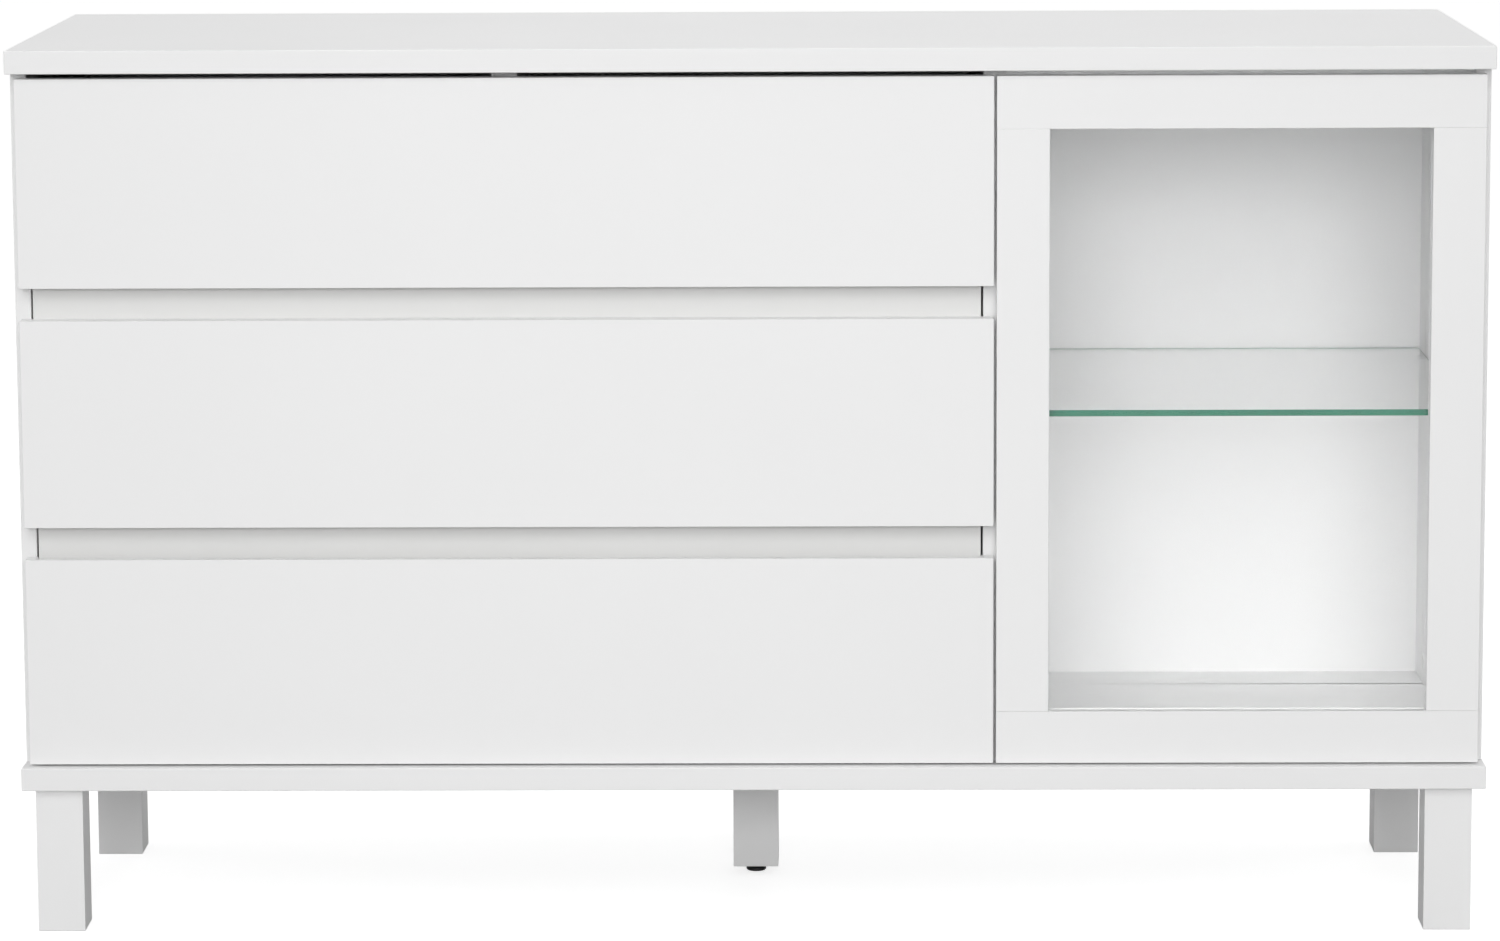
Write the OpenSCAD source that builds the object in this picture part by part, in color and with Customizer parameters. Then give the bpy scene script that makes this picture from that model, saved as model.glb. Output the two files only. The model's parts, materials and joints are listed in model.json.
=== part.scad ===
// Sideboard buffet: three drawers on the left, a glazed door on the right, on four square legs
// and a middle support leg. Millimetres. The origin is on the floor under the middle of the top
// board, the front faces -Y and +Z is up.

/* [Overall] */
// Width of the top and bottom boards
width = 1400; // [1360:5:1440]
// Depth of the top and bottom boards
depth = 470; // [460:5:490]
// Height of the top surface above the floor
height = 850; // [835:1:865]

/* [Panels] */
// Thickness of the top and bottom boards and of the divider
board_t = 22; // [20:0.5:24]
// Thickness of the two side panels
side_t = 15; // [15:0.5:16]
// How far the side panels stand in from the ends of the boards
side_inset = 1; // [0:0.5:2]
// Thickness of the back panels
back_t = 3; // [2.5:0.5:4]
// How far the fronts stand back from the front edge of the boards
face_inset = 10; // [8:0.5:12]

/* [Drawers] */
// Thickness of the drawer fronts and the door frame
front_t = 18; // [18:0.5:19]
// Height of the finger gap between two drawer fronts
finger_gap = 31; // [28:0.5:32]
// Gap between the bottom board and the lowest front
gap_below = 2; // [1.5:0.5:3]
// Gap between the highest front and the top board
gap_above = 5.5; // [4:0.5:6]
// Thickness of a drawer box's side, back and front
box_t = 12; // [12:0.5:13]
// Height of a drawer box's sides
box_h = 140; // [130:1:145]
// How far a drawer pulls out
drawer_travel = 390; // [300:5:390]

/* [Door and shelf] */
// Width of the glazed door
door_w = 460; // [450:1:470]
// Gap between the drawer fronts and the door
door_gap = 2.5; // [2:0.5:4]
// Width of the door's rails and stiles
frame_w = 50; // [50:1:55]
// Thickness of the door glass
glass_t = 4; // [4:0.5:5]
// Thickness of the glass shelf
shelf_t = 6; // [5:0.5:8]
// Height of the shelf's top face above the floor
shelf_z = 502; // [420:1:560]

/* [Legs] */
// Side of a square leg
leg_w = 45; // [42:1:48]
// Height of a leg
leg_h = 140; // [130:1:150]
// How far a front leg's outer face stands in from the board's end
leg_inset = 12; // [10:1:14]
// How far a rear leg stands in behind a front leg, towards the middle
rear_leg_shift = 14; // [10:1:20]
// Distance from the boards' rear edge to the middle of a rear leg
rear_leg_back = 121; // [100:1:130]

/* [Hidden] */
$fn = 48;

white = "#f1f1ee";
inner_white = "#e8e8e4";
steel = "#b9bcc0";
beech = "#cfa878";
clear_glass = "#a9d3c4";
black = "#1c1c1e";
soft_plastic = "#dcdcd8";

// Heights: the drawers and the door fill the space between the two boards.
floor_z = leg_h + board_t;
ceiling_z = height - board_t;
fronts_h = ceiling_z - floor_z - gap_below - gap_above;
drawers = 3;
front_h = (fronts_h - (drawers - 1) * finger_gap) / drawers;
function front_z(i) = floor_z + gap_below + i * (front_h + finger_gap);
top_drawer = 2;
middle_drawer = 1;
bottom_drawer = 0;

// Depths, from front to back.
front_y = -depth / 2;
rear_y = depth / 2;
face_y = front_y + face_inset;
front_back_y = face_y + front_t;
panel_gap = 2;
panel_y = front_back_y + panel_gap;
back_recess = 12;
back_y = rear_y - back_recess;
rebate = 6;

// Widths: the fronts overlap the side panels and half of the divider.
side_out = width / 2 - side_inset;
side_in = side_out - side_t;
reveal = 6;
fronts_x = side_out - reveal;
door_x = fronts_x - door_w;
drawer_x = door_x - door_gap;
divider_x = (door_x + drawer_x) / 2;
divider_left = divider_x - board_t / 2;
divider_right = divider_x + board_t / 2;
slip = 0.05;
panel_play = 0.5;

// Cam fittings and dowels that hold the upright panels to the boards.
cam_r = 7.5;
cam_depth = 12.5;
cam_in = 24;
bolt_r = 3;
bolt_bore_r = 4;
thread_r = 2.5;
thread_len = 11;
dowel_r = 4;
dowel_deep = 16;
dowel_shallow = 13;
cam_slot_r = 2.5;
cam_slot_depth = 2;
bolt_head_r = 3.4;
bolt_head_len = 3;
bolt_neck_r = 1.8;
bolt_shank_len = 14;
cam_ys = [-150, 160];
dowel_ys = [-95, 105];
// Each upright panel: the middle of its thickness, the face that holds the cams, and the way in.
uprights = [
    [-(side_in + side_t / 2), -side_in, -1],
    [divider_x, divider_left, 1],
    [side_in + side_t / 2, side_in, 1]
];
// Each end of an upright: the board face there and the way into the board.
ends = [[floor_z, -1], [ceiling_z, 1]];

// Leg fittings.
leg_bolt_r = 4;
leg_bolt_low = 35;
leg_bolt_high = 12;
insert_r = 5.5;
insert_len = 13;
front_leg_x = width / 2 - leg_inset - leg_w / 2;
front_leg_y = face_y + leg_w / 2;
rear_leg_x = front_leg_x - rear_leg_shift;
rear_leg_y = rear_y - rear_leg_back;
centre_leg_y = 23.5;
foot_gap = 8;
foot_h = 5;
foot_r = 10;
foot_rim = 2;
foot_stem = 32;
stem_play = 0.5;
stem_room = 8;
legs = [
    [-front_leg_x, front_leg_y], [front_leg_x, front_leg_y],
    [-rear_leg_x, rear_leg_y], [rear_leg_x, rear_leg_y], [0, centre_leg_y]
];

// Back panel screws, all driven forwards.
screw_r = 1.5;
screw_len = 12;
screw_head_r = 3;
screw_head_t = 1;
edge_screws = 4;
edge_screw_end = 50;
board_screws = 6;
board_screw_reach = 560;
divider_screw_out = 5;
edge_screw_x = side_in + rebate / 2;
edge_screw_step = (ceiling_z - floor_z - 2 * edge_screw_end) / (edge_screws - 1);
edge_screw_zs = [for (k = [0:edge_screws - 1]) floor_z + edge_screw_end + k * edge_screw_step];
board_screw_step = 2 * board_screw_reach / (board_screws - 1);
board_screw_xs = [for (k = [0:board_screws - 1]) k * board_screw_step - board_screw_reach];
back_screws = concat(
    [for (z = edge_screw_zs, s = [-1, 1]) [s * edge_screw_x, z]],
    [for (z = edge_screw_zs, s = [-1, 1]) [divider_x + s * divider_screw_out, z]],
    [for (x = board_screw_xs, z = [floor_z - rebate / 2, ceiling_z + rebate / 2]) [x, z]]);

// Drawer boxes and their slides.
slide_space = 12.7;
bay_left = -side_in;
bay_right = divider_left;
box_left = bay_left + slide_space;
box_right = bay_right - slide_space;
box_front_t = 15;
box_front_clear = 2;
box_front_up = 12;
box_front_below = 2;
top_box_front_below = 23;
box_y = front_back_y + box_front_t;
box_len = drawer_travel + 10;
box_up = 20;
bottom_t = 4;
bottom_up = 10;
groove = 4;
grip_h = 16;
grip_d = 9;
slide_up = 85;
rail_t = 1.2;
rail_clear = 2;
// Each rail: gap from the wall to its web, distance of its flange tips from the wall, half its
// height and its length.
cabinet_rail = [0, 9, 22.5, box_len];
middle_rail = [3.4, 10.6, 18.4, box_len - 20];
box_rail = [slide_space - rail_t, 6, 13.8, box_len - 4];

// Door frame, glass and hinges.
door_z = front_z(0);
glass_bite = 8;
glass_slip = 0.6;
glass_groove = glass_t + 0.4;
glass_y = face_y + 12;
glass_groove_y = glass_y - (glass_groove - glass_t) / 2;
door_dowel_len = 40;
door_dowel_step = 12;
hinge_end = 100;
hinge_zs = [door_z + hinge_end, door_z + fronts_h - hinge_end];
cup_x = fronts_x - 22.5;
cup_r = 17.5;
cup_depth = 11.5;
cup_wall = 1;
cup_slip = 0.1;
flange_t = 0.8;
flange_rim = 1.5;
flange_wing_x = 8;
flange_wing_z = 27;
flange_slip = 0.1;
// The link turns on the arm's pin at link_in and carries the door on the cup's pin at link_out.
link_in = [side_in - 28, panel_y + 2];
link_out = [fronts_x - 11, front_back_y - 2];
pin_r = 1;
cup_pin_half = 12;
pin_slip = 0.05;
eye_r = 1.9;
link_t = 2;
link_half_z = 6;
cheek_t = 1.5;
plate_t = 2;
plate_x = side_in - plate_t;
arm_w = 20;
arm_rise = 22;
arm_end = 62;
arm_neck = 14;
web_t = 2;
plate_start = 16;
plate_half_z = 8;
wing_start = 32;
wing_end = 44;
wing_half_z = 24;
bumper_r = 4;
bumper_t = 1.8;
bumper_end = 25;

// Glass shelf and its pins.
shelf_clear = 1;
shelf_front_y = panel_y + 2;
shelf_back_y = back_y - 2;
pin_hole = 8;
shelf_pin_r = 2.5;
shelf_pin_z = shelf_z - shelf_t - shelf_pin_r - slip;
shelf_pin_ys = [-140, 170];

// A box from one corner to the opposite one.
module span(low, high) {
    translate(low) cube(high - low);
}

// A cylinder from a point along one axis: 0 is X, 1 is Y and 2 is Z. A minus length goes back.
module rod(from, axis, r, len) {
    turn = axis == 0 ? [0, 90, 0] : axis == 1 ? [-90, 0, 0] : [0, 0, 0];
    shift = axis == 0 ? [min(len, 0), 0, 0] : axis == 1 ? [0, min(len, 0), 0] : [0, 0, min(len, 0)];
    translate(from + shift) rotate(turn) cylinder(r = r, h = abs(len));
}

// Holes for the cam bolts and dowels in one board, entered at height z.
module board_fitting_holes(z, way) {
    for (u = uprights) {
        for (y = cam_ys) rod([u[0], y, z], 2, thread_r + slip, way * (thread_len + slip));
        for (y = dowel_ys) rod([u[0], y, z], 2, dowel_r + slip, way * (dowel_shallow + slip));
    }
}

// Holes for the leg inserts in the bottom board.
module leg_insert_holes() {
    for (p = legs) rod([p[0], p[1], leg_h], 2, insert_r + slip, insert_len + slip);
}

// Pilot holes for every back panel screw.
module back_screw_holes() {
    for (p = back_screws) {
        rod([p[0], back_y + back_t + slip, p[1]], 1, screw_r + slip, -(back_t + screw_len));
    }
}

module board(z) {
    span([-width / 2, front_y, z], [width / 2, rear_y, z + board_t]);
}

module top_board() {
    color(white) difference() {
        board(ceiling_z);
        span([-side_in - rebate, back_y, ceiling_z - 1],
            [side_in + rebate, rear_y + 1, ceiling_z + rebate]);
        board_fitting_holes(ceiling_z, 1);
        back_screw_holes();
    }
}

module bottom_board() {
    color(white) difference() {
        board(leg_h);
        span([-side_in - rebate, back_y, floor_z - rebate],
            [side_in + rebate, rear_y + 1, floor_z + 1]);
        board_fitting_holes(floor_z, -1);
        leg_insert_holes();
        back_screw_holes();
    }
}

// Everything bored into one upright panel for its fittings.
module upright_bores(u) {
    for (e = ends) {
        for (y = cam_ys) {
            rod([u[1] - u[2], y, e[0] - e[1] * cam_in], 0, cam_r, u[2] * (cam_depth + 1));
            rod([u[0], y, e[0] + e[1]], 2, bolt_bore_r, -e[1] * (cam_in + 1));
        }
        for (y = dowel_ys) {
            rod([u[0], y, e[0] + e[1]], 2, dowel_r + slip, -e[1] * (dowel_deep + 1 + slip));
        }
    }
}

// A row of holes for the shelf pins, in the face at x.
module shelf_pin_holes(x, way) {
    for (y = shelf_pin_ys) rod([x - way, y, shelf_pin_z], 0, shelf_pin_r + slip, way * (pin_hole + 1));
}

module side_panel(way) {
    low_x = way < 0 ? -side_out : side_in;
    inner = way < 0 ? [-side_in - rebate, -side_in + 1] : [side_in - 1, side_in + rebate];
    difference() {
        span([low_x, panel_y, floor_z], [low_x + side_t, rear_y, ceiling_z]);
        span([inner[0], back_y, floor_z - 1], [inner[1], rear_y + 1, ceiling_z + 1]);
        upright_bores(way < 0 ? uprights[0] : uprights[2]);
        back_screw_holes();
        if (way > 0) shelf_pin_holes(side_in, 1);
    }
}

module side_panel_left() {
    color(white) side_panel(-1);
}

module side_panel_right() {
    color(white) side_panel(1);
}

module divider_panel() {
    color(white) difference() {
        span([divider_left, panel_y, floor_z], [divider_right, back_y, ceiling_z]);
        upright_bores(uprights[1]);
        back_screw_holes();
        shelf_pin_holes(divider_right, -1);
    }
}

// One back panel between two x positions, let into the rebates all round.
module back_panel(x0, x1) {
    difference() {
        span([x0 + panel_play, back_y, floor_z - rebate + panel_play],
            [x1 - panel_play, back_y + back_t, ceiling_z + rebate - panel_play]);
        back_screw_holes();
    }
}

module back_panel_left() {
    color(inner_white) back_panel(-side_in - rebate, divider_x);
}

module back_panel_right() {
    color(inner_white) back_panel(divider_x, side_in + rebate);
}

// The batten under the middle of the drawer bay keeps the top board from sagging.
module top_batten() {
    batten_w = 25;
    batten_h = 22;
    front_clear = 4;
    back_clear = 20;
    mid = (bay_left + bay_right) / 2;
    color(inner_white)
        span([mid - batten_w / 2, panel_y + front_clear, ceiling_z - batten_h],
            [mid + batten_w / 2, back_y - back_clear, ceiling_z]);
}

// A square leg under the bottom board, bored for its bolt.
module leg(i, low = 0) {
    p = legs[i];
    difference() {
        span([p[0] - leg_w / 2, p[1] - leg_w / 2, low],
            [p[0] + leg_w / 2, p[1] + leg_w / 2, leg_h]);
        rod([p[0], p[1], leg_h + 1], 2, leg_bolt_r + slip, -(leg_bolt_low + 1 + slip));
    }
}

module leg_front_left() {
    color(white) leg(0);
}

module leg_front_right() {
    color(white) leg(1);
}

module leg_rear_left() {
    color(white) leg(2);
}

module leg_rear_right() {
    color(white) leg(3);
}

module leg_centre() {
    p = legs[4];
    color(white) difference() {
        leg(4, foot_gap);
        rod([p[0], p[1], foot_gap - 1], 2, insert_r + slip, insert_len + 1 + slip);
        rod([p[0], p[1], foot_gap], 2, leg_bolt_r + stem_play, foot_stem + stem_room);
    }
}

module leg_bolts() {
    color(steel) for (p = legs) {
        rod([p[0], p[1], leg_h - leg_bolt_low], 2, leg_bolt_r, leg_bolt_low + leg_bolt_high);
    }
}

// A threaded sleeve that takes an M8 bolt.
module insert(p, z) {
    difference() {
        rod([p[0], p[1], z], 2, insert_r, insert_len);
        rod([p[0], p[1], z - 1], 2, leg_bolt_r + slip, insert_len + 2);
    }
}

module threaded_inserts() {
    color(steel) {
        for (p = legs) insert(p, leg_h);
        insert(legs[4], foot_gap);
    }
}

// A domed foot on a threaded stem, screwed up into the middle leg.
module levelling_foot() {
    p = legs[4];
    dome_w = foot_r - leg_bolt_r;
    dome_h = foot_h - foot_rim;
    dome = [for (a = [10:10:60]) [leg_bolt_r + dome_w * cos(a), foot_rim + dome_h * sin(a)]];
    color(black) translate([p[0], p[1], 0]) rotate_extrude()
        polygon(concat(
            [[0, 0], [foot_r - 1, 0], [foot_r, 1], [foot_r, foot_rim]],
            dome,
            [[leg_bolt_r, foot_h], [leg_bolt_r, foot_stem], [0, foot_stem]]));
}

module cam_locks() {
    color(steel) for (u = uprights, e = ends, y = cam_ys) {
        z = e[0] - e[1] * cam_in;
        difference() {
            rod([u[1], y, z], 0, cam_r - slip, u[2] * (cam_depth - slip));
            rod([u[0], y, z - e[1]], 2, bolt_bore_r, e[1] * (cam_r + 2));
            rod([u[1] - u[2], y, z], 0, cam_slot_r, u[2] * (cam_slot_depth + 1));
        }
    }
}

// A bolt screwed into a board: a head held by the cam, a thin neck, a shank and a thread.
module cam_bolts() {
    neck_len = cam_in - bolt_shank_len + 1;
    color(steel) for (u = uprights, e = ends, y = cam_ys) {
        rod([u[0], y, e[0] - e[1] * cam_in], 2, bolt_head_r, e[1] * bolt_head_len);
        rod([u[0], y, e[0] - e[1] * cam_in], 2, bolt_neck_r, e[1] * neck_len);
        rod([u[0], y, e[0] - e[1] * bolt_shank_len], 2, bolt_r, e[1] * bolt_shank_len);
        rod([u[0], y, e[0] - e[1]], 2, thread_r, e[1] * (thread_len + 1));
    }
}

module wood_dowels() {
    color(beech) for (u = uprights, e = ends, y = dowel_ys) {
        rod([u[0], y, e[0] - e[1] * dowel_deep], 2, dowel_r, e[1] * (dowel_deep + dowel_shallow));
    }
}

module back_panel_screws() {
    color(steel) for (p = back_screws) {
        rod([p[0], back_y + back_t, p[1]], 1, screw_r, -(back_t + screw_len - 1));
        rod([p[0], back_y + back_t, p[1]], 1, screw_head_r, screw_head_t);
    }
}

module shelf_pins() {
    color(steel) for (y = shelf_pin_ys) {
        rod([side_in + pin_hole - slip, y, shelf_pin_z], 0, shelf_pin_r, -2 * pin_hole);
        rod([divider_right - pin_hole + slip, y, shelf_pin_z], 0, shelf_pin_r, 2 * pin_hole);
    }
}

module glass_shelf() {
    color(clear_glass)
        span([divider_right + shelf_clear, shelf_front_y, shelf_z - shelf_t],
            [side_in - shelf_clear, shelf_back_y, shelf_z]);
}

// The groove all round the inside of the door frame that holds the glass.
module glass_groove_cut() {
    inset = frame_w - glass_bite;
    span([door_x + inset, glass_groove_y, door_z + inset],
        [fronts_x - inset, glass_groove_y + glass_groove, door_z + fronts_h - inset]);
}

// Dowels between each stile and the two rails. Extra makes the holes.
module frame_dowels(extra = 0) {
    y = (face_y + front_back_y) / 2;
    dowel_len = door_dowel_len + 2 * extra;
    xs = [door_x + frame_w / 2, fronts_x - frame_w / 2];
    zs = [door_z + frame_w, door_z + fronts_h - frame_w];
    for (x = xs, s = [-1, 1], z = zs) {
        rod([x + s * door_dowel_step, y, z - dowel_len / 2], 2, dowel_r + extra, dowel_len);
    }
}

module door_member(low, high) {
    difference() {
        span([low[0], face_y, low[1]], [high[0], front_back_y, high[1]]);
        glass_groove_cut();
        frame_dowels(slip);
        for (z = hinge_zs) {
            rod([cup_x, front_back_y + 1, z], 1, cup_r, -(cup_depth + 1));
            cup_flange(z, flange_slip);
        }
    }
}

module door_rail_top() {
    z1 = door_z + fronts_h;
    color(white) door_member([door_x, z1 - frame_w], [fronts_x, z1]);
}

module door_rail_bottom() {
    color(white) door_member([door_x, door_z], [fronts_x, door_z + frame_w]);
}

module door_stile_left() {
    color(white)
        door_member([door_x, door_z + frame_w], [door_x + frame_w, door_z + fronts_h - frame_w]);
}

module door_stile_right() {
    color(white)
        door_member([fronts_x - frame_w, door_z + frame_w], [fronts_x, door_z + fronts_h - frame_w]);
}

module door_glass() {
    inset = frame_w - glass_bite + glass_slip;
    color(clear_glass)
        span([door_x + inset, glass_y, door_z + inset],
            [fronts_x - inset, glass_y + glass_t, door_z + fronts_h - inset]);
}

module door_dowels() {
    color(beech) frame_dowels();
}

module door_bumpers() {
    color(soft_plastic) for (z = [door_z + bumper_end, door_z + fronts_h - bumper_end]) {
        rod([door_x + bumper_r + 1, front_back_y, z], 1, bumper_r, bumper_t);
    }
}

// The thin flange round a hinge cup, let in flush with the back of the stile. Extra makes its
// recess, which starts just behind the stile.
module cup_flange(z, extra = 0) {
    out_y = front_back_y + (extra > 0 ? 1 : 0);
    in_y = front_back_y - flange_t - extra;
    half_x = flange_wing_x + extra;
    half_z = flange_wing_z + extra;
    rod([cup_x, out_y, z], 1, cup_r + flange_rim + extra, in_y - out_y);
    span([cup_x - half_x, in_y, z - half_z], [cup_x + half_x, out_y, z + half_z]);
}

module hinge_cups() {
    color(steel) for (z = hinge_zs) {
        difference() {
            union() {
                rod([cup_x, front_back_y, z], 1, cup_r - cup_slip, -(cup_depth - cup_slip));
                cup_flange(z);
            }
            rod([cup_x, front_back_y + 1, z], 1, cup_r - cup_slip - cup_wall, -(cup_depth - cup_wall));
        }
        rod([link_out[0], link_out[1], z - cup_pin_half], 2, pin_r, 2 * cup_pin_half);
    }
}

// One flat link with an eye at each end.
module hinge_links() {
    reach = link_out - link_in;
    color(steel) for (z = hinge_zs) translate([link_in[0], link_in[1], z - link_half_z]) difference() {
        rotate([0, 0, atan2(reach[1], reach[0])]) union() {
            cylinder(r = eye_r, h = 2 * link_half_z);
            translate([0, -link_t / 2, 0]) cube([norm(reach), link_t, 2 * link_half_z]);
            translate([norm(reach), 0, 0]) cylinder(r = eye_r, h = 2 * link_half_z);
        }
        translate([0, 0, -1]) cylinder(r = pin_r + pin_slip, h = 2 * link_half_z + 2);
        translate([reach[0], reach[1], -1]) cylinder(r = pin_r + pin_slip, h = 2 * link_half_z + 2);
    }
}

// The arm is a channel: a web on top and two cheeks that carry the link's pin.
module hinge_arms() {
    x = link_in[0];
    y = link_in[1];
    out_x = plate_x - arm_w;
    cheek_z = link_half_z + 0.5;
    cheek = [
        [x, y - eye_r], [x - eye_r, y], [x - eye_r, y + 2 * eye_r],
        [out_x, y + arm_rise], [out_x, y + arm_end],
        [plate_x, y + arm_end], [plate_x, y + arm_neck],
        [x + 6 * eye_r, y + 3 * eye_r], [x + eye_r, y - 1]
    ];
    color(steel) for (z = hinge_zs) {
        for (low = [z + cheek_z, z - cheek_z - cheek_t]) {
            translate([0, 0, low]) linear_extrude(cheek_t) polygon(cheek);
        }
        span([out_x, y + arm_rise + web_t, z - cheek_z], [out_x + web_t, y + arm_end, z + cheek_z]);
        rod([x, y, z - cheek_z - cheek_t], 2, pin_r, 2 * (cheek_z + cheek_t));
    }
}

// The plate that holds an arm to the side panel: a bar with two wings for its screws.
module hinge_plates() {
    y = link_in[1];
    color(steel) for (z = hinge_zs) {
        span([plate_x, y + plate_start, z - plate_half_z], [side_in, y + arm_end, z + plate_half_z]);
        span([plate_x, y + wing_start, z - wing_half_z], [side_in, y + wing_end, z + wing_half_z]);
    }
}

// Drawer front with a finger grip milled into the back of its lower edge, or of its upper edge.
module drawer_front(i) {
    z = front_z(i);
    grip_z = i == bottom_drawer ? z + front_h - grip_h : z - 1;
    color(white) difference() {
        span([-fronts_x, face_y, z], [drawer_x, front_back_y, z + front_h]);
        span([bay_left + box_front_clear, front_back_y - grip_d, grip_z],
            [bay_right - box_front_clear, front_back_y + 1, grip_z + grip_h + 1]);
    }
}

function bottom_z(i) = front_z(i) + box_up + bottom_up;

// The box front is wider and taller than the box: it hides the slides and backs the finger gap.
module drawer_box_front(i) {
    top = front_z(i) + front_h
        + (i == top_drawer ? -top_box_front_below : finger_gap - box_front_below);
    color(white) difference() {
        span([bay_left + box_front_clear, front_back_y, front_z(i) + box_front_up],
            [bay_right - box_front_clear, box_y, top]);
        span([box_left + box_t - groove, box_y - groove, bottom_z(i)],
            [box_right - box_t + groove, box_y + 1, bottom_z(i) + bottom_t + slip]);
    }
}

module drawer_side(i, way) {
    x = way < 0 ? box_left : box_right - box_t;
    z = front_z(i) + box_up;
    color(inner_white) difference() {
        span([x, box_y, z], [x + box_t, box_y + box_len, z + box_h]);
        span([box_left + box_t - groove, box_y - 1, bottom_z(i)],
            [box_right - box_t + groove, box_y + box_len + 1, bottom_z(i) + bottom_t + slip]);
    }
}

module drawer_back(i) {
    color(inner_white)
        span([box_left + box_t, box_y + box_len - box_t, bottom_z(i) + bottom_t + slip],
            [box_right - box_t, box_y + box_len, front_z(i) + box_up + box_h]);
}

module drawer_bottom(i) {
    color(inner_white)
        span([box_left + box_t - groove + panel_play, box_y - groove + panel_play, bottom_z(i)],
            [box_right - box_t + groove - panel_play, box_y + box_len, bottom_z(i) + bottom_t]);
}

// One folded rail: a web with a flange along each edge. Web is measured from the cabinet wall.
module rail(i, shape, wall, way) {
    z = front_z(i) + slide_up;
    web = shape[0];
    tip = shape[1];
    half = shape[2];
    y = box_y + rail_clear;
    xs = [wall + way * web, wall + way * (web + rail_t)];
    fs = [wall + way * min(web, tip), wall + way * max(web + rail_t, tip)];
    span([min(xs), y, z - half], [max(xs), y + shape[3], z + half]);
    for (s = [-1, 1]) {
        zs = [z + s * half, z + s * (half - rail_t)];
        span([min(fs), y, min(zs)], [max(fs), y + shape[3], max(zs)]);
    }
}

module rail_pair(i, shape) {
    color(steel) {
        rail(i, shape, bay_left, 1);
        rail(i, shape, bay_right, -1);
    }
}

module drawer_top_front() { drawer_front(top_drawer); }
module drawer_top_box_front() { drawer_box_front(top_drawer); }
module drawer_top_side_left() { drawer_side(top_drawer, -1); }
module drawer_top_side_right() { drawer_side(top_drawer, 1); }
module drawer_top_back() { drawer_back(top_drawer); }
module drawer_top_bottom() { drawer_bottom(top_drawer); }
module drawer_top_cabinet_rails() { rail_pair(top_drawer, cabinet_rail); }
module drawer_top_middle_rails() { rail_pair(top_drawer, middle_rail); }
module drawer_top_box_rails() { rail_pair(top_drawer, box_rail); }

module drawer_middle_front() { drawer_front(middle_drawer); }
module drawer_middle_box_front() { drawer_box_front(middle_drawer); }
module drawer_middle_side_left() { drawer_side(middle_drawer, -1); }
module drawer_middle_side_right() { drawer_side(middle_drawer, 1); }
module drawer_middle_back() { drawer_back(middle_drawer); }
module drawer_middle_bottom() { drawer_bottom(middle_drawer); }
module drawer_middle_cabinet_rails() { rail_pair(middle_drawer, cabinet_rail); }
module drawer_middle_middle_rails() { rail_pair(middle_drawer, middle_rail); }
module drawer_middle_box_rails() { rail_pair(middle_drawer, box_rail); }

module drawer_bottom_front() { drawer_front(bottom_drawer); }
module drawer_bottom_box_front() { drawer_box_front(bottom_drawer); }
module drawer_bottom_side_left() { drawer_side(bottom_drawer, -1); }
module drawer_bottom_side_right() { drawer_side(bottom_drawer, 1); }
module drawer_bottom_back() { drawer_back(bottom_drawer); }
module drawer_bottom_bottom() { drawer_bottom(bottom_drawer); }
module drawer_bottom_cabinet_rails() { rail_pair(bottom_drawer, cabinet_rail); }
module drawer_bottom_middle_rails() { rail_pair(bottom_drawer, middle_rail); }
module drawer_bottom_box_rails() { rail_pair(bottom_drawer, box_rail); }

top_board();
bottom_board();
side_panel_left();
side_panel_right();
divider_panel();
back_panel_left();
back_panel_right();
top_batten();
leg_front_left();
leg_front_right();
leg_rear_left();
leg_rear_right();
leg_centre();
leg_bolts();
threaded_inserts();
levelling_foot();
cam_locks();
cam_bolts();
wood_dowels();
back_panel_screws();
shelf_pins();
glass_shelf();
door_rail_top();
door_rail_bottom();
door_stile_left();
door_stile_right();
door_glass();
door_dowels();
door_bumpers();
hinge_cups();
hinge_links();
hinge_arms();
hinge_plates();
drawer_top_front();
drawer_top_box_front();
drawer_top_side_left();
drawer_top_side_right();
drawer_top_back();
drawer_top_bottom();
drawer_top_cabinet_rails();
drawer_top_middle_rails();
drawer_top_box_rails();
drawer_middle_front();
drawer_middle_box_front();
drawer_middle_side_left();
drawer_middle_side_right();
drawer_middle_back();
drawer_middle_bottom();
drawer_middle_cabinet_rails();
drawer_middle_middle_rails();
drawer_middle_box_rails();
drawer_bottom_front();
drawer_bottom_box_front();
drawer_bottom_side_left();
drawer_bottom_side_right();
drawer_bottom_back();
drawer_bottom_bottom();
drawer_bottom_cabinet_rails();
drawer_bottom_middle_rails();
drawer_bottom_box_rails();
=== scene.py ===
# %% [markdown]
# # A white sideboard with drawers and a glass door
#
# This lesson dresses a finished design of a sideboard. The boards, legs, slides and hinges already
# exist as exact solids, each on the body that moves it. What is missing is everything the eye
# reads as a real thing: soft edges, satin foil, clear glass with a green edge, bright steel, and
# the light of a studio.
#
# The first cell loads the solids. Nothing is typed in twice: a place or a size is always asked of
# the solids themselves, so the look follows the design if the design changes.

# %% Load the frame and a helper for the box of a part
import json
import math

import bmesh
import bpy
from mathutils import Matrix, Vector


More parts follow.
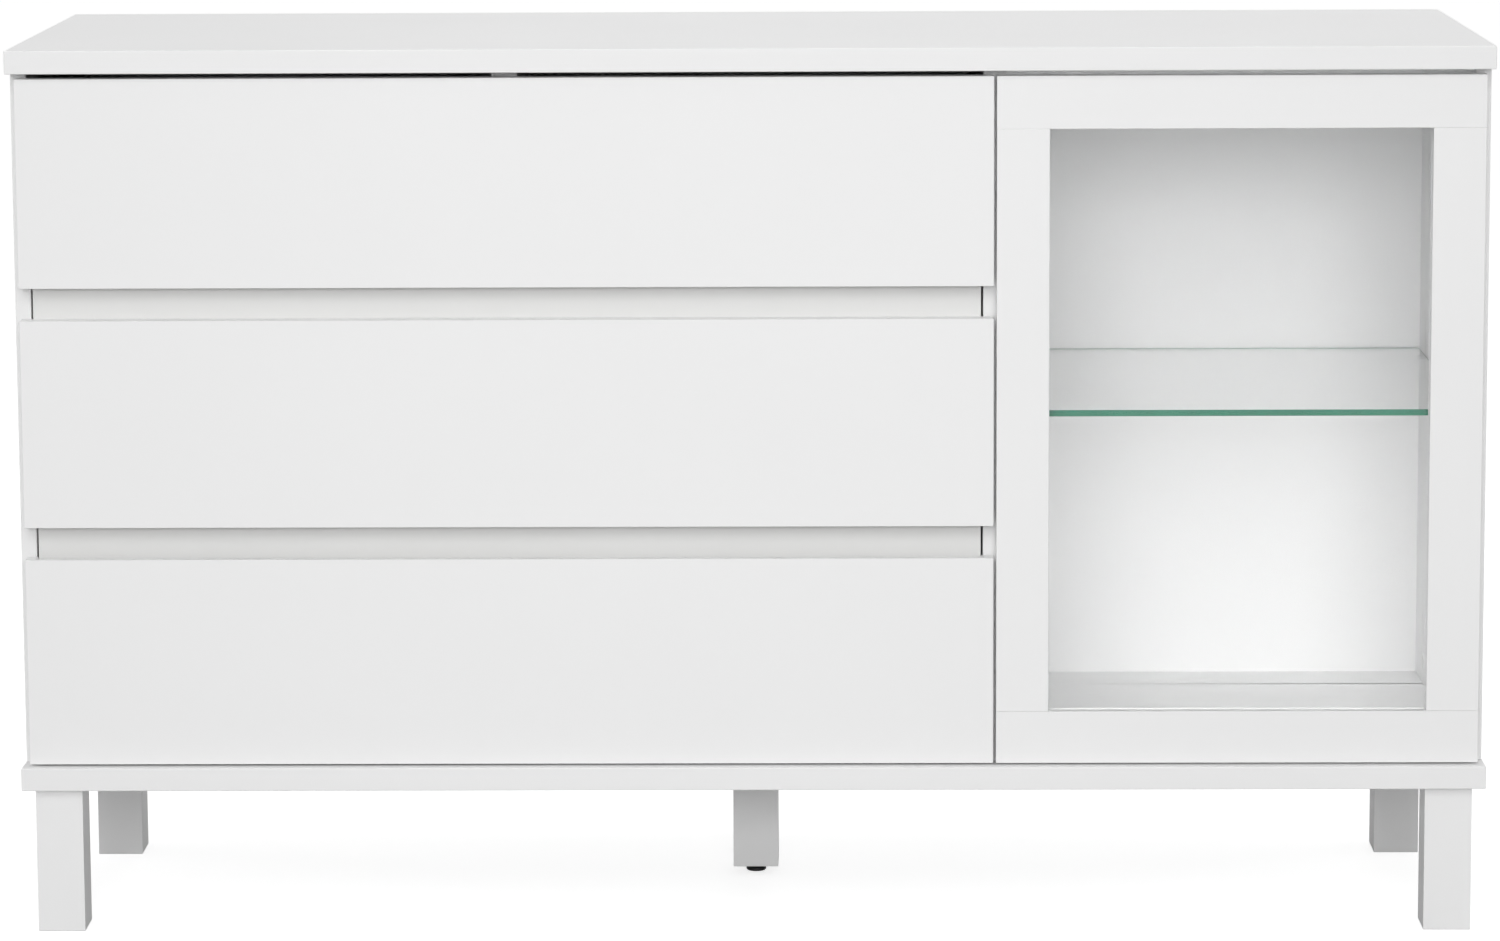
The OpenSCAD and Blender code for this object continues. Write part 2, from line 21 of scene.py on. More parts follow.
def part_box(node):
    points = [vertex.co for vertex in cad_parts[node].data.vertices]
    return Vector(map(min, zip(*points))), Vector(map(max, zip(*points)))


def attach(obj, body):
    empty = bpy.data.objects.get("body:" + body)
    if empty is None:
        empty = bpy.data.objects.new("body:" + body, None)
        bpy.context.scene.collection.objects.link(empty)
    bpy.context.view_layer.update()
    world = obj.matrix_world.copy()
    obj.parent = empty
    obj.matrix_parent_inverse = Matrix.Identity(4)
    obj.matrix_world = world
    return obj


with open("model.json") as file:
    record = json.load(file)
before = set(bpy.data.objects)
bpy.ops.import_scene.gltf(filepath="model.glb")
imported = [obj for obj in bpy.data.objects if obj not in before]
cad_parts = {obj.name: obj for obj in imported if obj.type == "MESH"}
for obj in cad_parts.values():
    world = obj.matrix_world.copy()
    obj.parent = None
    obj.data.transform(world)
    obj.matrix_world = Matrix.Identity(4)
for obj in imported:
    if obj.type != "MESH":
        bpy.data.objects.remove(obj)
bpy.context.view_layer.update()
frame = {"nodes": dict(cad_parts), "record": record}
MM = 0.001
print("nodes:", len(frame["nodes"]))

# %% [markdown]
# ## The camera
#
# A catalogue picture of a wide cabinet is taken from several metres away with a long lens, a
# little above the top, so that the verticals stay nearly parallel and the top shows as a thin
# strip. A short lens close by would spread the corners and make the legs run together. The camera
# comes first because every later choice of light is judged through it. The vertical shift is kept
# small, so that the cabinet still stands in the middle when the same lens looks from elsewhere.

# %% Stand the camera in front and a little above
camera_data = bpy.data.cameras.new("catalogue_camera")
camera_data.lens = 124.0
camera_data.sensor_width = 36.0
camera_data.shift_y = -0.08
camera_data.clip_start, camera_data.clip_end = 0.1, 200.0
camera = bpy.data.objects.new("catalogue_camera", camera_data)
bpy.context.scene.collection.objects.link(camera)

camera_place = Vector((0.071, -5.067, 1.239))
camera_turn, camera_tilt, camera_roll = 0.843, -7.947, 0.276
camera.matrix_world = (
    Matrix.Translation(camera_place)
    @ Matrix.Rotation(math.radians(camera_turn), 4, "Z")
    @ Matrix.Rotation(math.radians(camera_tilt), 4, "X")
    @ Matrix.Rotation(math.radians(camera_roll), 4, "Y")
    @ Matrix.Rotation(math.radians(90), 4, "X")
)
bpy.context.scene.camera = camera
print("camera stands", round(-camera_place.y, 2), "m in front")

# %% [markdown]
# ## Floor
#
# White furniture on a white ground lives from small differences, so the floor is a plain pale
# sheet, wide enough that its edge never shows. A curved backdrop would do the same job, but the sky
# is made white further down and meets the sheet without a seam.

# %% Lay the floor
def flat_sheet(name, size, z):
    mesh = bpy.data.meshes.new(name)
    h = size / 2
    mesh.from_pydata([(-h, -h, z), (h, -h, z), (h, h, z), (-h, h, z)], [], [(0, 1, 2, 3)])
    sheet = bpy.data.objects.new(name, mesh)
    bpy.context.scene.collection.objects.link(sheet)
    return sheet


FLOOR_SIZE = 120.0
floor = flat_sheet("studio_floor", FLOOR_SIZE, 0.0)
print("floor", FLOOR_SIZE, "m wide")

# %% [markdown]
# ## Soft boxes
#
# Two soft boxes stand in front, one high and one at eye level, so the fronts are brightest at the
# top and fade a little towards the legs. A third hangs over the cabinet for the top board. Weak
# boxes behind and at the sides keep those faces from going grey when the cabinet is seen from
# there. These weak boxes are hidden from mirror-like rays, because the satin top would otherwise
# reflect them as a white glare. One hard lamp would be simpler, but it would draw a dark shadow on
# the floor and a bright spot on every satin board.
#
# The colours are shown through the Standard view, so that a white board comes out as white. The
# default film-like view would press every bright board down to a light grey.

# %% Hang the soft boxes
def soft_box(name, place, target, width, height, watts, spread=180):
    light = bpy.data.lights.new(name, "AREA")
    light.spread = math.radians(spread)
    light.shape = "RECTANGLE"
    light.size, light.size_y = width, height
    light.energy = watts
    box = bpy.data.objects.new(name, light)
    bpy.context.scene.collection.objects.link(box)
    box.location = place
    box.rotation_euler = (Vector(target) - Vector(place)).to_track_quat("-Z", "Y").to_euler()
    box.visible_camera = False
    return box


soft_box("high_soft_box", (-0.6, -4.2, 3.4), (0, 0, 0.7), 3.6, 2.0, 11.6, spread=70)
soft_box("eye_level_soft_box", (0.1, -6.2, 1.9), (0, 0, 0.5), 3.0, 1.5, 13.9, spread=60)
soft_box("over_soft_box", (0.2, 0.6, 3.6), (0, 0.1, 0), 3.0, 2.4, 29)
weak_boxes = [soft_box("rear_soft_box", (0.6, 4.8, 1.3), (0, 0, 0.4), 3.0, 1.2, 6, spread=60)]
for side in (-1, 1):
    weak_boxes.append(soft_box(
        f"side_soft_box_{side + 1}", (side * 4.6, 1.2, 1.3), (0, 0.2, 0.4), 1.6, 1.2, 3.2, spread=60))
for box in weak_boxes:
    box.visible_glossy = False
bpy.context.scene.view_settings.view_transform = "Standard"

# %% [markdown]
# The sky does two jobs. It fills the shadows, and for that it has to stay dim, or the boards lose
# their shape. It is also the backdrop, and a backdrop should be white. A small switch separates
# the two: rays that come from the camera, straight or through glass, see the bright sky, and rays
# that carry light to the boards see the dim one.

# %% Make a sky that fills dimly and looks white
FILL, BACKDROP = 0.48, 1.0
sky = bpy.data.worlds.new("pale_sky")
bpy.context.scene.world = sky
sky.use_nodes = True
sky_tree = sky.node_tree
background = sky_tree.nodes["Background"]
background.inputs["Color"].default_value = (1, 1, 1, 1)


def seen_by_camera(tree):
    """1 for rays that start at the camera and for those that passed through glass, 0 for light."""
    rays = tree.nodes.new("ShaderNodeLightPath")
    either = tree.nodes.new("ShaderNodeMath")
    either.operation = "MAXIMUM"
    tree.links.new(rays.outputs["Is Camera Ray"], either.inputs[0])
    tree.links.new(rays.outputs["Is Transmission Ray"], either.inputs[1])
    return either.outputs[0]


sky_switch = sky_tree.nodes.new("ShaderNodeMapRange")
sky_switch.inputs["To Min"].default_value = FILL
sky_switch.inputs["To Max"].default_value = BACKDROP
sky_tree.links.new(seen_by_camera(sky_tree), sky_switch.inputs["Value"])
sky_tree.links.new(sky_switch.outputs["Result"], background.inputs["Strength"])
print("sky: fill", FILL, "backdrop", BACKDROP)

# %% [markdown]
# ## Shared effects
#
# Foil, lacquer, moulded plastic and rolled steel look different, but they share two effects: a
# fine unevenness of the skin, and faint marks from handling that change the gloss. Each effect is
# a node group with named inputs, built once. A group only gives values and heights. The shader
# stays in each material, where its fixed numbers can be read.

# %% A helper that makes an empty shader group
def effect_group(name, inputs, outputs):
    group = bpy.data.node_groups.new(name, "ShaderNodeTree")
    for label, value in inputs.items():
        socket = group.interface.new_socket(name=label, in_out="INPUT", socket_type="NodeSocketFloat")
        socket.default_value = value
    for label in outputs:
        group.interface.new_socket(name=label, in_out="OUTPUT", socket_type="NodeSocketFloat")
    return group, group.nodes.new("NodeGroupInput"), group.nodes.new("NodeGroupOutput")


def noise_at(tree, coords, scale=None, detail=2.0, stretch=None):
    link = tree.links.new
    if stretch:
        mapping = tree.nodes.new("ShaderNodeMapping")
        mapping.inputs["Scale"].default_value = stretch
        link(coords, mapping.inputs["Vector"])
        coords = mapping.outputs["Vector"]
    noise = tree.nodes.new("ShaderNodeTexNoise")
    noise.inputs["Detail"].default_value = detail
    link(coords, noise.inputs["Vector"])
    if scale is not None:
        link(scale, noise.inputs["Scale"])
    return noise.outputs["Fac"]


def spread(tree, value, amount, middle):
    """middle + (value - 0.5) * amount, as nodes."""
    shifted = tree.nodes.new("ShaderNodeMath")
    shifted.operation = "SUBTRACT"
    shifted.inputs[1].default_value = 0.5
    tree.links.new(value, shifted.inputs[0])
    scaled = tree.nodes.new("ShaderNodeMath")
    scaled.operation = "MULTIPLY_ADD"
    tree.links.new(shifted.outputs[0], scaled.inputs[0])
    tree.links.new(amount, scaled.inputs[1])
    tree.links.new(middle, scaled.inputs[2])
    return scaled.outputs[0]


print("helpers for shader groups are ready")

# %% [markdown]
# The skin effect mixes two sizes of noise. The fine one is the orange peel of lacquer or the
# emboss of foil, and goes to the bump height. The broad one shifts the tone a little, as large
# pale surfaces always do. Sizes are given per metre, so the grain has its real scale.

# %% Build the skin effect
skin, skin_in, skin_out = effect_group(
    "satin skin",
    {"Grain per metre": 900.0, "Cloud per metre": 5.0, "Tone": 1.0, "Tone spread": 0.02,
     "Gloss": 0.4, "Gloss spread": 0.06},
    ["Tone", "Roughness", "Height"],
)
skin_place = skin.nodes.new("ShaderNodeTexCoord").outputs["Object"]
grain = noise_at(skin, skin_place, skin_in.outputs["Grain per metre"], detail=3.0)
cloud = noise_at(skin, skin_place, skin_in.outputs["Cloud per metre"], detail=2.0)
skin.links.new(spread(skin, cloud, skin_in.outputs["Tone spread"], skin_in.outputs["Tone"]),
               skin_out.inputs["Tone"])
skin.links.new(spread(skin, grain, skin_in.outputs["Gloss spread"], skin_in.outputs["Gloss"]),
               skin_out.inputs["Roughness"])
skin.links.new(grain, skin_out.inputs["Height"])
print("group:", skin.name)

# %% [markdown]
# Handling leaves broad soft patches where a hand has polished or dulled the surface. A stretched
# noise, cut to its upper part, gives a mask from 0 to 1 that a material adds to its roughness.

# %% Build the handling marks
marks, marks_in, marks_out = effect_group(
    "handling marks", {"Patches per metre": 7.0, "Amount": 0.05}, ["Dulling"])
marks_place = marks.nodes.new("ShaderNodeTexCoord").outputs["Object"]
patches = noise_at(marks, marks_place, marks_in.outputs["Patches per metre"], 4.0, (1.0, 1.0, 0.6))
cut = marks.nodes.new("ShaderNodeMapRange")
cut.inputs["From Min"].default_value = 0.52
cut.inputs["From Max"].default_value = 0.75
marks.links.new(patches, cut.inputs["Value"])
scaled_marks = marks.nodes.new("ShaderNodeMath")
scaled_marks.operation = "MULTIPLY"
marks.links.new(cut.outputs["Result"], scaled_marks.inputs[0])
marks.links.new(marks_in.outputs["Amount"], scaled_marks.inputs[1])
marks.links.new(scaled_marks.outputs[0], marks_out.inputs["Dulling"])
print("group:", marks.name)

# %% [markdown]
# ## Painted and foiled boards
#
# The fronts, the door frame and the legs are lacquered, the carcass is wrapped in satin foil, and
# the drawer boxes and the back are matt. The drawer foil is a shade darker than the carcass foil,
# partly its own tone and partly painted shade for the finger gaps behind the fronts. All of them
# are one recipe with other numbers: a base colour multiplied by the tone, a roughness from skin
# and marks, and a very low bump.

# %% Three helpers for any material
def start_material(name):
    material = bpy.data.materials.new(name)
    material.use_nodes = True
    tree = material.node_tree
    return material, tree, tree.nodes["Principled BSDF"]


def add_effect(tree, group, **values):
    node = tree.nodes.new("ShaderNodeGroup")
    node.node_tree = group
    for label, value in values.items():
        node.inputs[label.replace("_", " ")].default_value = value
    return node


def tone_colour(tree, colour, tone):
    """The colour, made a little lighter or darker by the tone."""
    mix = tree.nodes.new("ShaderNodeMix")
    mix.data_type = "RGBA"
    mix.blend_type = "MULTIPLY"
    mix.inputs["Factor"].default_value = 1.0
    mix.inputs["A"].default_value = (*colour, 1)
    tree.links.new(tone, mix.inputs["B"])
    return mix.outputs["Result"]


print("material helpers are ready")

# %% [markdown]
# The recipe adds two roughnesses: that of the skin, and the dull patches that hands leave. The
# bump is only hundredths of a millimetre high, because foil and lacquer are nearly flat. A thin
# clear coat is kept for the lacquer alone.

# %% A recipe for coated boards
def coated_board(name, colour, gloss, grain_size, bump, dulling=0.05, coat=0.0, tone_spread=0.02):
    material, tree, shader = start_material(name)
    peel = add_effect(tree, skin, Grain_per_metre=grain_size, Gloss=gloss, Tone_spread=tone_spread)
    hands = add_effect(tree, marks, Amount=dulling)
    total = tree.nodes.new("ShaderNodeMath")
    tree.links.new(peel.outputs["Roughness"], total.inputs[0])
    tree.links.new(hands.outputs["Dulling"], total.inputs[1])
    relief = tree.nodes.new("ShaderNodeBump")
    relief.inputs["Distance"].default_value = bump
    relief.inputs["Strength"].default_value = 0.5
    tree.links.new(peel.outputs["Height"], relief.inputs["Height"])
    tree.links.new(tone_colour(tree, colour, peel.outputs["Tone"]), shader.inputs["Base Color"])
    tree.links.new(total.outputs[0], shader.inputs["Roughness"])
    tree.links.new(relief.outputs["Normal"], shader.inputs["Normal"])
    shader.inputs["Coat Weight"].default_value = coat
    shader.inputs["Coat Roughness"].default_value = 0.25
    return material


lacquer = coated_board("white_lacquer", (0.89, 0.89, 0.89), 0.42, 700, 0.00004, coat=0.15)
foil = coated_board("white_foil", (0.88, 0.88, 0.88), 0.48, 1400, 0.00003)
# The drawer foil is darker than the carcass foil: partly its own matt tone, partly painted shade for
# the finger gaps.
box_foil_and_gap_shade = coated_board("drawer_foil", (0.79, 0.79, 0.78), 0.58, 1800, 0.00003)
back_paint = coated_board("back_board_paint", (0.9, 0.9, 0.9), 0.62, 1100, 0.00003)
print("coated boards:", lacquer.name, foil.name, box_foil_and_gap_shade.name, back_paint.name)

# %% [markdown]
# ## Glass
#
# Clear glass bends the rays that the camera follows, but the lamps have to reach the shelf behind
# the door too. A small Mix Shader lets lamp rays pass straight through, and leaves everything else
# to the glass itself. The narrow ground rim of the shelf is another matter: the light in it has
# travelled through a long piece of glass and comes out green. Tracing that path would need a great
# many rays, so the rim gets a finish of its own, a smooth green one.

# %% Make the two glasses
def let_lamps_through(tree, shader, output):
    """Lamp rays meet a plain clear sheet in place of the glass."""
    rays = tree.nodes.new("ShaderNodeLightPath")
    clear = tree.nodes.new("ShaderNodeBsdfTransparent")
    mix = tree.nodes.new("ShaderNodeMixShader")
    tree.links.new(rays.outputs["Is Shadow Ray"], mix.inputs["Fac"])
    tree.links.new(shader.outputs["BSDF"], mix.inputs[1])
    tree.links.new(clear.outputs["BSDF"], mix.inputs[2])
    tree.links.new(mix.outputs["Shader"], output.inputs["Surface"])


def clear_glass(name, colour):
    material, tree, shader = start_material(name)
    shader.inputs["Base Color"].default_value = (*colour, 1)
    shader.inputs["Transmission Weight"].default_value = 1.0
    shader.inputs["IOR"].default_value = 1.46
    smear = add_effect(tree, marks, Patches_per_metre=4.0, Amount=0.02)
    tree.links.new(smear.outputs["Dulling"], shader.inputs["Roughness"])
    let_lamps_through(tree, shader, tree.nodes["Material Output"])
    return material


door_glass = clear_glass("door_glass_clear", (0.998, 1.0, 0.999))
shelf_glass = clear_glass("shelf_glass_clear", (0.99, 1.0, 0.995))
rim_glass = coated_board("shelf_glass_rim", (0.012, 0.15, 0.088), 0.2, 300, 0.00001, tone_spread=0.08)
print("glasses:", door_glass.name, shelf_glass.name, rim_glass.name)

# %% [markdown]
# ## Steel, beech and plastic
#
# Slides and hinges are zinc-plated strip. The rolling leaves long fine lines, so the noise is
# stretched along the length of the rails. The dowels are turned beech with a lengthwise grain, and
# the domed foot is moulded black plastic.

# %% Mix the fittings' materials
def rolled_steel(name, colour, stretch, gloss=0.28):
    material, tree, shader = start_material(name)
    place = tree.nodes.new("ShaderNodeTexCoord").outputs["Object"]
    lines = noise_at(tree, place, None, 3.0, stretch)
    lines.node.inputs["Scale"].default_value = 1.0
    tone = tree.nodes.new("ShaderNodeMapRange")
    tone.inputs["To Min"].default_value = 0.82
    tone.inputs["To Max"].default_value = 1.08
    tree.links.new(lines, tone.inputs["Value"])
    rough = tree.nodes.new("ShaderNodeMapRange")
    rough.inputs["To Min"].default_value = gloss - 0.08
    rough.inputs["To Max"].default_value = gloss + 0.12
    tree.links.new(lines, rough.inputs["Value"])
    tree.links.new(tone_colour(tree, colour, tone.outputs["Result"]), shader.inputs["Base Color"])
    tree.links.new(rough.outputs["Result"], shader.inputs["Roughness"])
    shader.inputs["Metallic"].default_value = 1.0
    return material


steel = rolled_steel("zinc_plated_steel", (0.66, 0.67, 0.69), (2500, 40, 2500))
pressed_steel = rolled_steel("pressed_steel", (0.7, 0.7, 0.71), (600, 600, 600), 0.22)
black_plastic = coated_board("black_plastic", (0.012, 0.012, 0.013), 0.38, 2200, 0.00003)
soft_plastic = coated_board("bumper_plastic", (0.72, 0.72, 0.7), 0.3, 900, 0.00001)
cap_plastic = coated_board("cap_plastic", (0.85, 0.85, 0.84), 0.4, 1200, 0.00002)
beech = coated_board("beech", (0.6, 0.42, 0.24), 0.6, 500, 0.00008, tone_spread=0.25)
print("fittings:", steel.name, pressed_steel.name, black_plastic.name)

# %% [markdown]
# ## Dressing the solids
#
# Every solid keeps its shape and gets its material by the slot that the design names. A board that
# has been sawn and banded never has a knife edge, so a narrow bevel of under a millimetre catches
# a line of light round each one. The imported solids are split along their edges, so they are
# welded before the bevel, and the bevel's corners are shaded smooth by the size of the faces.

# %% Give each solid its finish and its soft edges
FINISH = {
    "white_foil": (foil, 0.9), "white_lacquer": (lacquer, 0.8), "drawer_foil": (box_foil_and_gap_shade, 0.4),
    "back_board": (back_paint, 0.0), "door_glass": (door_glass, 0.0),
    "shelf_glass": (shelf_glass, 0.0), "steel": (steel, 0.0), "beech": (beech, 0.0),
    "black_plastic": (black_plastic, 0.0), "clear_plastic": (soft_plastic, 0.0),
}
SLOT_OF = {part["node"]: part["material_slot"] for part in frame["record"]["subparts"]}


def soften(solid, width_mm):
    weld = solid.modifiers.new("weld", "WELD")
    weld.merge_threshold = 0.00001
    bevel = solid.modifiers.new("soft edge", "BEVEL")
    bevel.width = width_mm * MM
    bevel.segments = 3
    bevel.limit_method = "ANGLE"
    bevel.angle_limit = math.radians(50)
    bevel.use_clamp_overlap = False
    shade = solid.modifiers.new("even shading", "WEIGHTED_NORMAL")
    shade.keep_sharp = False


softened = 0
for name, solid in frame["nodes"].items():
    finish, edge = FINISH[SLOT_OF[name]]
    solid.data.materials.clear()
    solid.data.materials.append(finish)
    if edge:
        soften(solid, edge)
        softened += 1
print("softened", softened, "of", len(frame["nodes"]), "solids")

# %% [markdown]
# The shelf needs its second finish on the four narrow faces only. They are the ones that point
# sideways, so the direction of each face picks its slot.

# %% Turn the rim of the shelf green
shelf = frame["nodes"]["glass_shelf"]
shelf.data.materials.append(rim_glass)
rim_faces = [face for face in shelf.data.polygons if abs(face.normal.z) < 0.5]
for face in rim_faces:
    face.material_index = 1
print("rim faces:", len(rim_faces), "of", len(shelf.data.polygons))

# %% [markdown]
# ## Where the fittings sit
#
# The fittings were drawn as plain solids, several to a node: two hinges, or two dozen screws. The
# small parts that go on them, such as heads and caps, need the place of every single one. This
# helper welds a copy of a node, walks over its connected faces and gives a box for each solid.

# %% Find the separate solids of a node
def solids_in(node):
    """[(lowest corner, highest corner), ...] of the separate solids in one node, at rest."""
    solid = frame["nodes"][node]
    shape = bmesh.new()
    shape.from_mesh(solid.data)
    shape.transform(solid.matrix_world)
    bmesh.ops.remove_doubles(shape, verts=shape.verts, dist=0.00001)
    left, boxes = set(shape.verts), []
    while left:
        group, reach = [], [left.pop()]
        while reach:
            vert = reach.pop()
            group.append(vert.co.copy())
            for edge in vert.link_edges:
                other = edge.other_vert(vert)
                if other in left:
                    left.remove(other)
                    reach.append(other)
        boxes.append((Vector(map(min, *group)), Vector(map(max, *group))))
    shape.free()
    return sorted(boxes, key=lambda b: tuple(round(v, 4) for v in (b[0] + b[1])))


def middle(box):
    return (box[0] + box[1]) / 2


for node in ("cam_locks", "back_panel_screws", "hinge_cups", "hinge_plates"):
    print(node, len(solids_in(node)))

# %% [markdown]
# ## Screw heads
#
# A plain cylinder reads as a rivet. A pan head with a cross makes it a screw. The head is turned
# from a short profile: a flat rim, a shoulder and a dome. The cross is two thin bars in a near-black
# painted shade, let into the top of the dome; their colour stands in for the shade inside a cross
# recess, which at this size looks like a recess and costs a dozen faces. All the heads
# of one kind become one piece, so the list of pieces stays short.

# %% Turn a profile on a lathe
def along(axis):
    """The turn that lays a piece's +Z along an axis."""
    return Vector(axis).to_track_quat("Z", "Y").to_matrix().to_4x4()


def lathe(shape, profile, place, steps=24):
    """Turns a profile of (radius, height) pairs and adds it to shape."""
    rings = []
    for radius, height in profile:
        if radius < 1e-7:
            rings.append([shape.verts.new(place @ Vector((0, 0, height)))] * steps)
            continue
        ring = []
        for k in range(steps):
            a = 2 * math.pi * k / steps
            point = Vector((radius * math.cos(a), radius * math.sin(a), height))
            ring.append(shape.verts.new(place @ point))
        rings.append(ring)
    for low, high in zip(rings, rings[1:]):
        for k in range(steps):
            corners = []
            for vert in (low[k], low[(k + 1) % steps], high[(k + 1) % steps], high[k]):
                if vert not in corners:
                    corners.append(vert)
            if len(corners) > 2:
                shape.faces.new(corners).smooth = True


print("lathe is ready")

# %% [markdown]
# Small fittings also need square bars, and each finished shape has to be handed over as a piece
# that rides on a body. A piece that rides on nothing would stay behind when a drawer opens.

# %% Add bars and hand a shape over as a piece
def block(shape, low, high, place=Matrix.Identity(4), material=0):
    """Adds a box from one corner to the opposite one."""
    made = bmesh.ops.create_cube(shape, size=1.0)["verts"]
    low, high = Vector(low), Vector(high)
    for vert in made:
        vert.co = place @ Vector([l + (h - l) * (c + 0.5) for l, h, c in zip(low, high, vert.co)])
    for face in {f for vert in made for f in vert.link_faces}:
        face.material_index = material


def to_piece(name, shape, body, slot, *finishes):
    """Turns a shape into a piece that rides on a body and carries the given finishes; the slot is not
    used.
    """
    mesh = bpy.data.meshes.new(name)
    bmesh.ops.recalc_face_normals(shape, faces=shape.faces)
    shape.to_mesh(mesh)
    shape.free()
    for finish in finishes:
        mesh.materials.append(finish)
    piece = bpy.data.objects.new(name, mesh)
    bpy.context.scene.collection.objects.link(piece)
    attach(piece, body)
    return piece


print("piece maker is ready")

# %% [markdown]
# A screw is then a turned head with two bars across it. Each head is turned by a different angle
# from the one before, because nobody drives every screw to the same stop.

# %% A maker of pan-head screws
def screws(name, body, places, axis, radius, slot="steel"):
    """Pan heads at the places, each with a cross in painted shade, standing out along the axis."""
    r = radius * MM
    height = 0.45 * r
    profile = [(0, 0), (r, 0), (r, 0.3 * height), (0.86 * r, 0.72 * height),
               (0.5 * r, 0.95 * height), (0, height)]
    shape = bmesh.new()
    for count, place in enumerate(places):
        spin = Matrix.Rotation(math.radians(23 + 37 * count), 4, "Z")
        stand = Matrix.Translation(place) @ along(axis) @ spin
        lathe(shape, profile, stand)
        for bar in ((0.55 * r, 0.12 * r), (0.12 * r, 0.55 * r)):
            # the cross bars take the second finish, a near-black painted shade for the recess
            block(shape, (-bar[0], -bar[1], 0.5 * height), (bar[0], bar[1], height * 1.02), stand, 1)
    return to_piece(name, shape, body, slot, pressed_steel, recess)


# A near-black finish that paints the shade inside each screw's cross recess.
recess = coated_board("recess_shadow", (0.03, 0.03, 0.032), 0.6, 1500, 0.00001)
print("screws are ready")

# %% [markdown]
# The back is held by small screws, and each hinge by screws through the wings of its
# plate and its cup. Two more on each arm adjust the door. The drawer fronts are drawn up to their
# boxes by four screws from the inside.

# %% Put heads on every screw
back_places = [Vector((middle(b).x, b[1].y, middle(b).z)) for b in solids_in("back_panel_screws")]
screws("back_screw_heads", "root", back_places, (0, 1, 0), 3.4)

plate_places, arm_places, cup_places = [], [], []
for low, high in solids_in("hinge_plates"):
    z = (low.z + high.z) / 2
    plate_places += [Vector((low.x, low.y + 22 * MM, z + side * 18 * MM)) for side in (-1, 1)]
for low, high in solids_in("hinge_arms"):
    if high.y - low.y > 30 * MM:
        z = (low.z + high.z) / 2
        arm_places += [Vector((high.x - 20 * MM, high.y - y * MM, z)) for y in (9, 28)]
for low, high in solids_in("hinge_cups"):
    if high.z - low.z > 30 * MM:
        x, z = (low.x + high.x) / 2, (low.z + high.z) / 2
        cup_places += [Vector((x, high.y, z + side * 22.5 * MM)) for side in (-1, 1)]
screws("hinge_plate_screws", "root", plate_places, (-1, 0, 0), 3.2)
screws("hinge_arm_screws", "root", arm_places, (-1, 0, 0), 3.0)
screws("hinge_cup_screws", "door", cup_places, (0, 1, 0), 3.0)
for level in ("top", "middle", "bottom"):
    low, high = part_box(f"drawer_{level}_box_front")
    back_low, back_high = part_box(f"drawer_{level}_back")
    width = back_high.x - back_low.x
    places = [Vector((back_low.x + side * width, high.y, z))
              for side in (0.12, 0.37, 0.63, 0.88)
              for z in (back_low.z + 25 * MM, back_high.z - 25 * MM)]
    screws(f"drawer_{level}_front_screws", f"drawer_{level}", places, (0, 1, 0), 3.5)
print("heads:", len(back_places), "back,", len(plate_places + arm_places + cup_places), "hinge")

# %% [markdown]
# ## Cover caps
#
# White caps press into the cam fittings inside the cabinet. A cap is a thin domed disc with a soft
# rim, a little wider than the hole it hides.

# %% Press a cap into each cam
CAP_R, CAP_T = 8.6 * MM, 1.1 * MM
caps = bmesh.new()
cap_profile = [(CAP_R, 0), (CAP_R, 0.35 * CAP_T), (0.93 * CAP_R, 0.8 * CAP_T),
               (0.5 * CAP_R, CAP_T), (0, CAP_T * 1.02)]
cam_boxes = solids_in("cam_locks")
panel_left, panel_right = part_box("side_panel_left"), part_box("side_panel_right")
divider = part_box("divider_panel")
for box in cam_boxes:
    centre = middle(box)
    if centre.x > divider[1].x:
        face_x, out = panel_right[0].x, -1
    elif centre.x > 0:
        face_x, out = divider[0].x, -1
    else:
        face_x, out = panel_left[1].x, 1
    stand = Matrix.Translation((face_x, centre.y, centre.z)) @ along((out, 0, 0))
    lathe(caps, cap_profile, stand, steps=32)
to_piece("cam_cover_caps", caps, "root", "clear_plastic", cap_plastic)
print("caps:", len(cam_boxes))

# %% [markdown]
# ## Slide details
#
# A drawer slide shows three things when it is pulled out: the screws through its rails, the black
# release lever on the box side and the black stop at the front end of the rail that stays behind.
# They are small blocks and heads set on the faces of the rails.

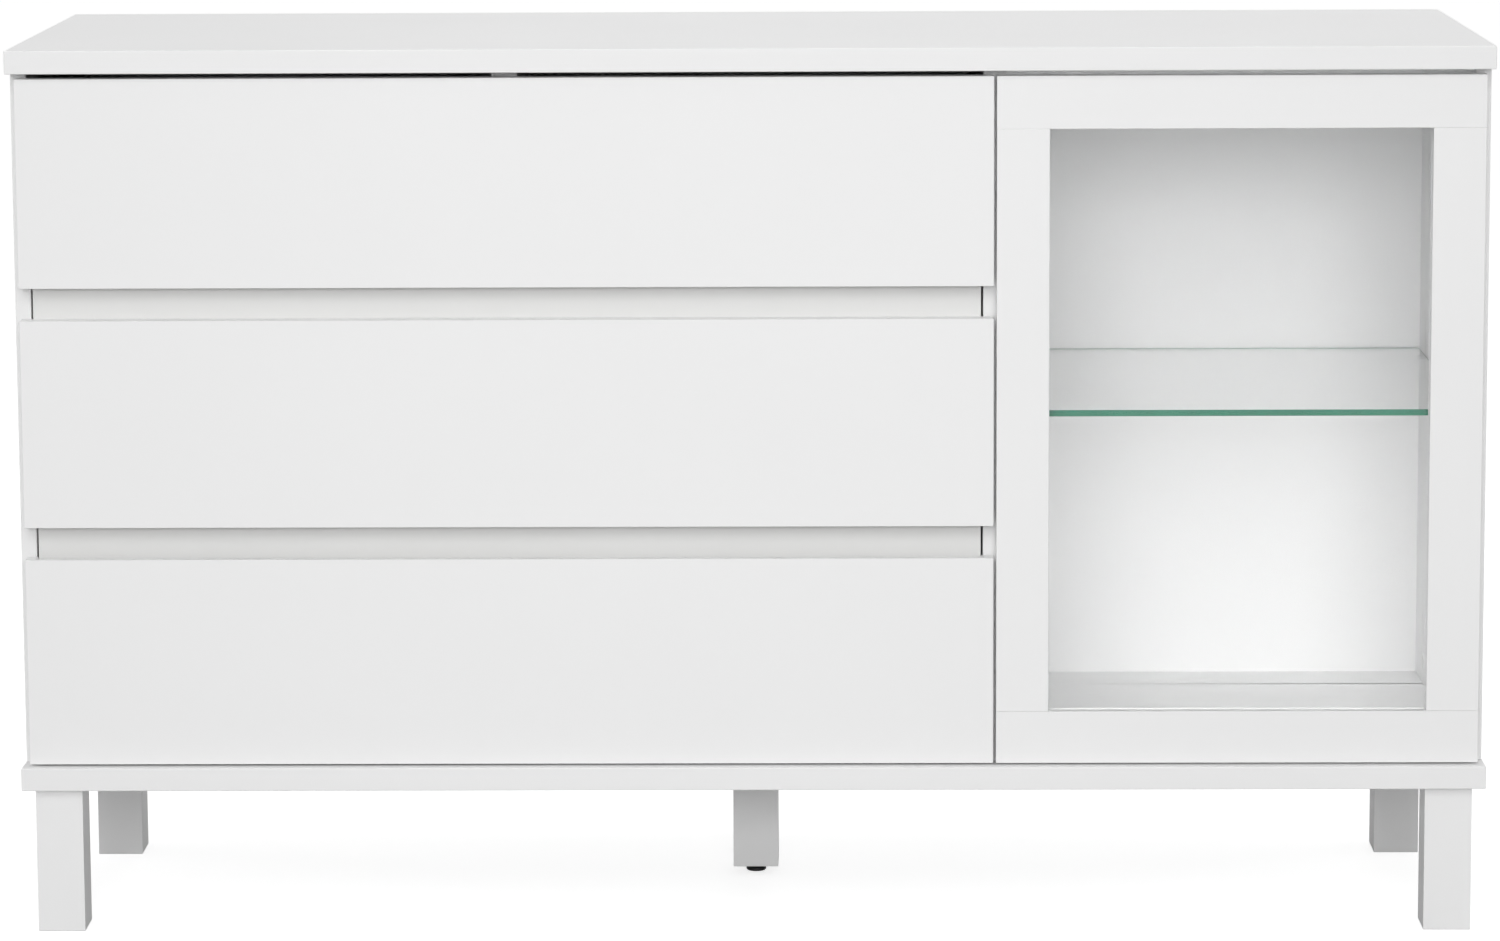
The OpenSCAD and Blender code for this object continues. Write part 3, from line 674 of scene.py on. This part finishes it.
# %% Add levers, stops and rail screws
for level in ("top", "middle", "bottom"):
    levers, stops = bmesh.new(), bmesh.new()
    box_screws = {-1: [], 1: []}
    for low, high in solids_in(f"drawer_{level}_box_rails"):
        side = -1 if middle((low, high)).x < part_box(f"drawer_{level}_back")[0].x else 1
        x = low.x if side < 0 else high.x
        # the web is the flat middle of the channel, on the box side
        web = high.x - 1.2 * MM if side < 0 else low.x + 1.2 * MM
        z = (low.z + high.z) / 2
        y = low.y + 0.56 * (high.y - low.y)
        xs = sorted((web, web + side * 2.2 * MM))
        block(levers, (xs[0], y, z - 3 * MM), (xs[1], y + 52 * MM, z + 3 * MM))
        block(levers, (xs[0], y + 44 * MM, z - 6 * MM), (xs[1], y + 56 * MM, z + 1 * MM))
        box_screws[side] += [
            Vector((web, low.y + share * (high.y - low.y), z)) for share in (0.08, 0.45, 0.93)]
    to_piece(f"slide_{level}_levers", levers, f"drawer_{level}", "black_plastic", black_plastic)
    for side, places in box_screws.items():
        screws(f"slide_{level}_box_screws_{'left' if side < 0 else 'right'}", f"drawer_{level}",
               places, (side, 0, 0), 2.9)
    for low, high in solids_in(f"drawer_{level}_cabinet_rails"):
        side = -1 if low.x < 0 else 1
        wall = low.x if side < 0 else high.x
        xs = sorted((wall - side * 1.3 * MM, wall - side * 8.6 * MM))
        for z0, z1 in ((low.z + 1.3 * MM, low.z + 3.6 * MM), (high.z - 3.6 * MM, high.z - 1.3 * MM)):
            block(stops, (xs[0], low.y + 0.5 * MM, z0), (xs[1], low.y + 9 * MM, z1))
    to_piece(f"slide_{level}_stops", stops, "root", "black_plastic", black_plastic)
print("slides dressed")

# %% [markdown]
# ## The floor's coat
#
# The floor is plain and pale. A coat bright enough to look white would throw so much light back
# up that the shadow under the cabinet would vanish. So the coat is a middle grey, and a faint glow
# that only the camera's rays see lifts it to white. It gives no light to the boards.

# %% Give the floor its plain coat
floor_paint, floor_tree, floor_shader = start_material("floor_paint")
floor_skin = add_effect(floor_tree, skin, Grain_per_metre=60, Tone_spread=0.01, Gloss=0.8)
floor_tree.links.new(
    tone_colour(floor_tree, (0.55, 0.55, 0.55), floor_skin.outputs["Tone"]),
    floor_shader.inputs["Base Color"])
floor_tree.links.new(floor_skin.outputs["Roughness"], floor_shader.inputs["Roughness"])
glow = floor_tree.nodes.new("ShaderNodeMapRange")
glow.inputs["To Max"].default_value = 0.72
floor_tree.links.new(seen_by_camera(floor_tree), glow.inputs["Value"])
floor_tree.links.new(glow.outputs["Result"], floor_shader.inputs["Emission Strength"])
floor_shader.inputs["Emission Color"].default_value = (1, 1, 1, 1)
floor.data.materials.append(floor_paint)
print("floor coat:", floor_paint.name)

# %% [markdown]
# ## The last cell
#

# %% Finish
print("finished")
